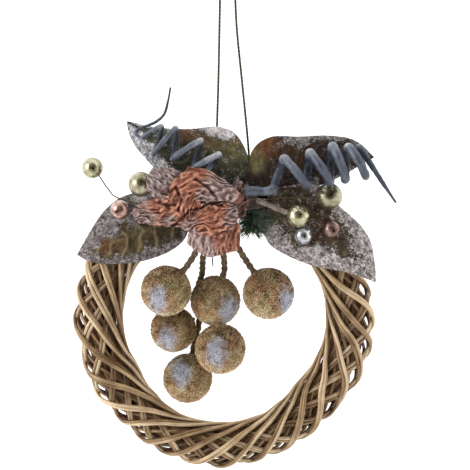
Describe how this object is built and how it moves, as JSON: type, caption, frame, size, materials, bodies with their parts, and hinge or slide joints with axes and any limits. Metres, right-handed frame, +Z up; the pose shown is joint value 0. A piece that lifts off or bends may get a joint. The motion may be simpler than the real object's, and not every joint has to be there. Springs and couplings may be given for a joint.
{
  "type": "christmas door wreath",
  "caption": "Round ring wound from bronze-gold canes, with a spray of glitter leaves, a copper flower, coiled tendrils, beads and hanging glitter balls, hung by a cord loop.",
  "frame": {"origin": "the point under the top of the hanging cord's loop, where the hook or nail bears", "axes": "+Z up as the wreath hangs, +X to the right as seen from the front, and the wreath faces -Y"},
  "size_m": [0.2116, 0.0656, 0.3465],
  "materials": {
    "cane": "bronze-gold metallic paint, satin",
    "leaf": "dark olive-brown cloth with a mauve-silver glitter border",
    "petal": "crinkled copper cloth with grey-mauve glitter",
    "tendril": "slate-blue wrapping with a pearly sheen",
    "glitter": "bronze granules with a frosted patch",
    "bead_gold": "pale gold pearl",
    "bead_copper": "copper-pink pearl",
    "bead_silver": "silver pearl",
    "stem": "dark brown tape over wire, matt",
    "needle": "dark green",
    "cord": "dark olive twisted string"
  },
  "bodies": {
    "root": {"woven_ring": "cane", "leaf_upper_left": "leaf", "leaf_upper_right": "leaf", "leaf_lower_left": "leaf", "leaf_lower_right": "leaf", "petal_top": "petal", "petal_front": "petal", "petal_left": "petal", "petal_upper_left": "petal", "petal_right": "petal", "petal_bottom": "petal", "tendril_left": "tendril", "tendril_right": "tendril", "glitter_ball_1": "glitter", "glitter_ball_2": "glitter", "glitter_ball_3": "glitter", "glitter_ball_4": "glitter", "glitter_ball_5": "glitter", "glitter_ball_6": "glitter", "bead_gold_1": "bead_gold", "bead_gold_2": "bead_gold", "bead_gold_3": "bead_gold", "bead_gold_4": "bead_gold", "bead_copper_1": "bead_copper", "bead_copper_2": "bead_copper", "bead_silver_1": "bead_silver", "stem_bundle": "stem", "ball_stem_1": "stem", "ball_stem_2": "stem", "ball_stem_3": "stem", "ball_stem_6": "stem", "ball_twig_4": "stem", "ball_twig_5": "stem", "wrapped_stem": "stem", "wire_end": "stem", "bead_wire_1": "stem", "bead_wire_2": "stem", "bead_wire_3": "stem", "bead_wire_4": "stem", "bead_wire_5": "stem", "bead_wire_6": "stem", "pine_sprig": "needle", "hanging_cord": "cord"}
  },
  "joints": []
}
